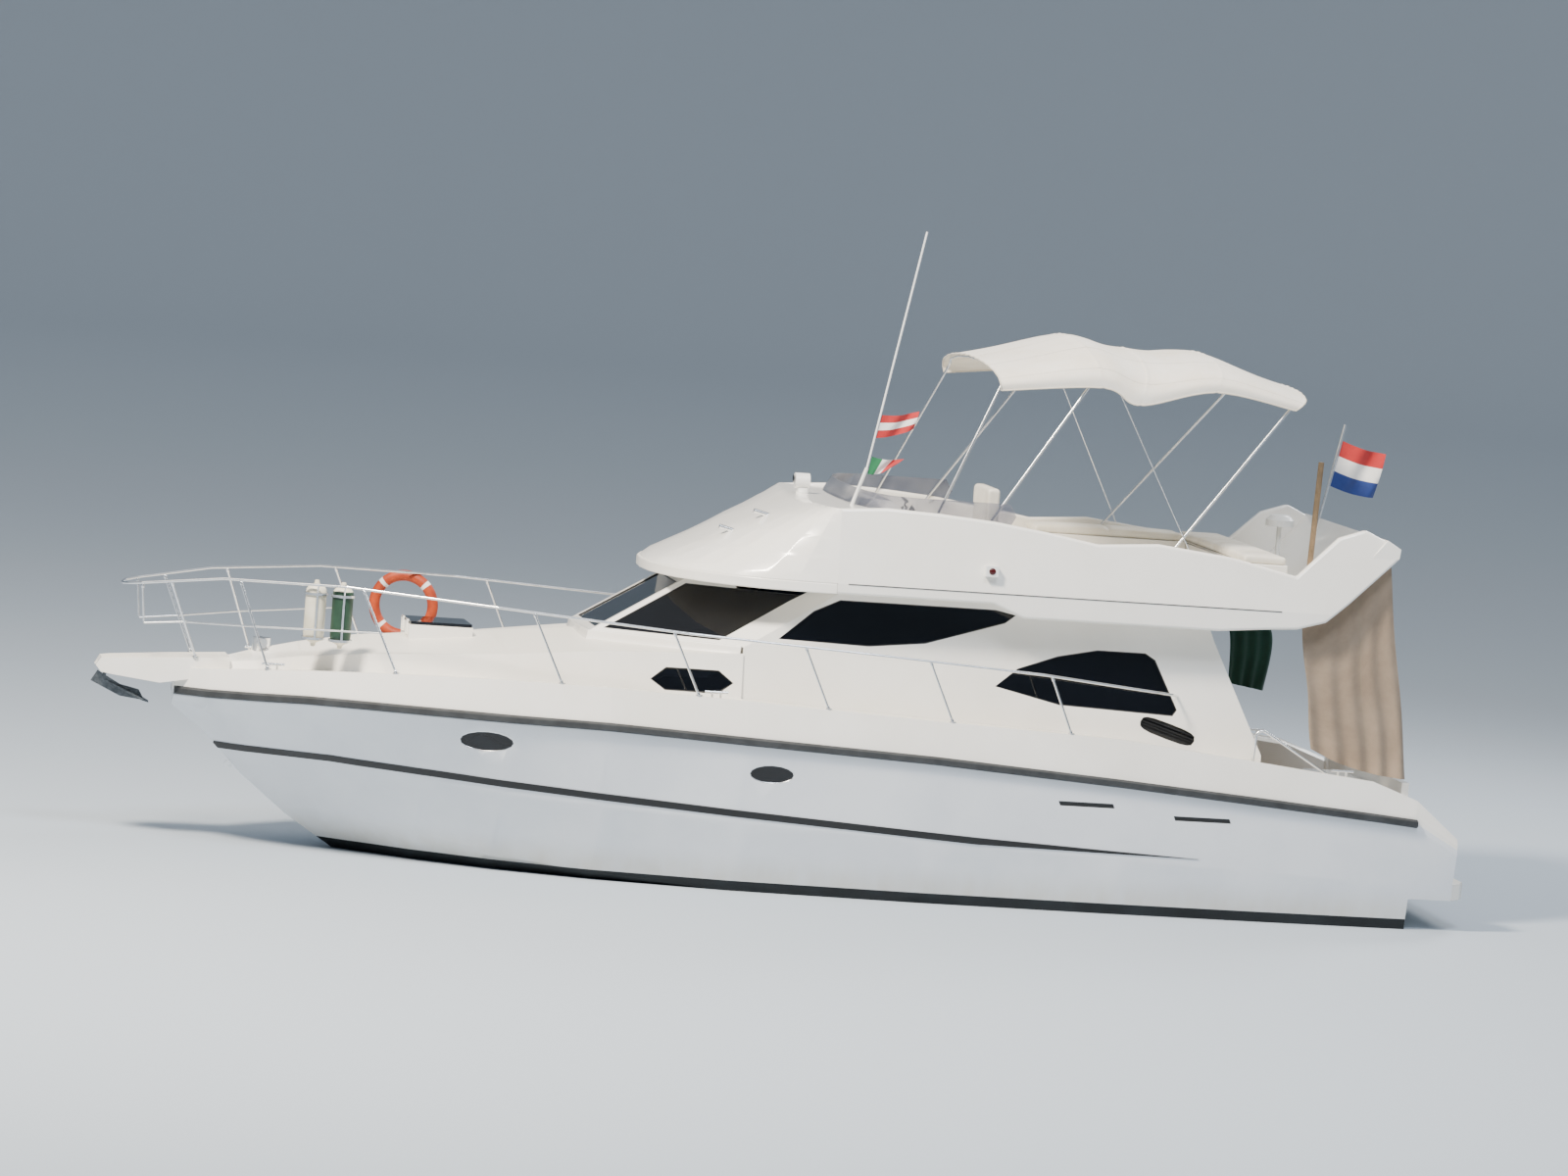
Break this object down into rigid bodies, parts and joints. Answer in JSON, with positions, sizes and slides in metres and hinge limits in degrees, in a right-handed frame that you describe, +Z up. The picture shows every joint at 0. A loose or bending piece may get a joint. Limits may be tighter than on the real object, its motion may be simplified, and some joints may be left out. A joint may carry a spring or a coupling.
{
  "type": "flybridge motor yacht",
  "caption": "White flybridge motor yacht with a dark bottom, black stripe, bow rail and a cream canopy over the upper helm.",
  "frame": {"origin": "on the centreline amidships, at the height of the still waterline", "axes": "+X towards the bow, +Y to port, +Z up"},
  "size_m": [13.13, 4.19, 7.3117],
  "materials": {
    "antifouling": "matte",
    "bronze": "satin",
    "canopy_cloth": "matte",
    "cushion": "matte",
    "deck_sole": "satin",
    "engine_grey": "matte",
    "fender_white": "satin",
    "flag_cloth": "matte",
    "galvanised": "matte",
    "gelcoat": "gloss",
    "hull_white": "gloss",
    "rub_rail": "matte",
    "screen_cloth": "matte",
    "smoked_glass": "gloss",
    "stainless": "polished",
    "stripe_black": "gloss",
    "white_plastic": "gloss"
  },
  "bodies": {
    "yacht": {"aerials": "white_plastic", "aft_bulkhead": "gelcoat", "anchor": "galvanised", "benches": "gelcoat", "bimini_canopy": "canopy_cloth", "bimini_frame": "stainless", "bow_platform": "gelcoat", "bow_rail": "stainless", "cabin_sides": "gelcoat", "deck_hardware": "stainless", "engines": "engine_grey", "flags": "flag_cloth", "fly_cushions": "cushion", "fly_windscreen": "smoked_glass", "flybridge_floor": "gelcoat", "flybridge_nose": "gelcoat", "flybridge_sides": "gelcoat", "flybridge_stern": "gelcoat", "foredeck": "gelcoat", "glazing": "smoked_glass", "helm_console": "gelcoat", "hull_bottom": "antifouling", "hull_stripe": "stripe_black", "hull_topsides": "hull_white", "hull_trim": "rub_rail", "lamps_and_horns": "white_plastic", "safety_gear": "fender_white", "saloon_furniture": "white_plastic", "shaft_brackets": "bronze", "side_decks": "gelcoat", "side_screen": "screen_cloth", "soles": "deck_sole", "stern_poles": "stainless", "swim_platform": "gelcoat", "transom": "gelcoat", "windscreen_frame": "gelcoat"},
    "propeller_port": {"propeller_port": "bronze"},
    "propeller_starboard": {"propeller_starboard": "bronze"},
    "rudder_port": {"rudder_port": "bronze"},
    "rudder_starboard": {"rudder_starboard": "bronze"},
    "saloon_door": {"saloon_door": "gelcoat", "door_glass": "smoked_glass"},
    "transom_gate": {"transom_gate": "gelcoat"},
    "engine_hatch": {"engine_hatch": "deck_sole"},
    "foredeck_hatch": {"foredeck_hatch": "smoked_glass"}
  },
  "joints": [
    {"name": "propeller_port_spin", "type": "hinge", "parent": "yacht", "child": "propeller_port", "pos_m": [-5.05, 0.78, -0.74], "axis": [0.9925, 0, 0.1219], "continuous": true},
    {"name": "propeller_starboard_spin", "type": "hinge", "parent": "yacht", "child": "propeller_starboard", "pos_m": [-5.05, -0.78, -0.74], "axis": [0.9925, 0, 0.1219], "continuous": true},
    {"name": "rudder_port_turn", "type": "hinge", "parent": "yacht", "child": "rudder_port", "pos_m": [-5.55, 0.78, -0.74], "axis": [0, 0, 1], "range_deg": [-35, 35]},
    {"name": "rudder_starboard_turn", "type": "hinge", "parent": "yacht", "child": "rudder_starboard", "pos_m": [-5.55, -0.78, -0.74], "axis": [0, 0, 1], "range_deg": [-35, 35]},
    {"name": "saloon_door_swing", "type": "hinge", "parent": "yacht", "child": "saloon_door", "pos_m": [-3.694, 0.7, 1.25], "axis": [0, 0, 1], "range_deg": [-95, 0]},
    {"name": "transom_gate_swing", "type": "hinge", "parent": "yacht", "child": "transom_gate", "pos_m": [-5.964, -0.8, 0.98], "axis": [0, 0, 1], "range_deg": [-95, 0]},
    {"name": "engine_hatch_lift", "type": "hinge", "parent": "yacht", "child": "engine_hatch", "pos_m": [-4.35, 0, 0.8725], "axis": [0, 1, 0], "range_deg": [0, 80]},
    {"name": "foredeck_hatch_lift", "type": "hinge", "parent": "yacht", "child": "foredeck_hatch", "pos_m": [3.634, 0, 2.235], "axis": [0, 1, 0], "range_deg": [0, 70]}
  ]
}
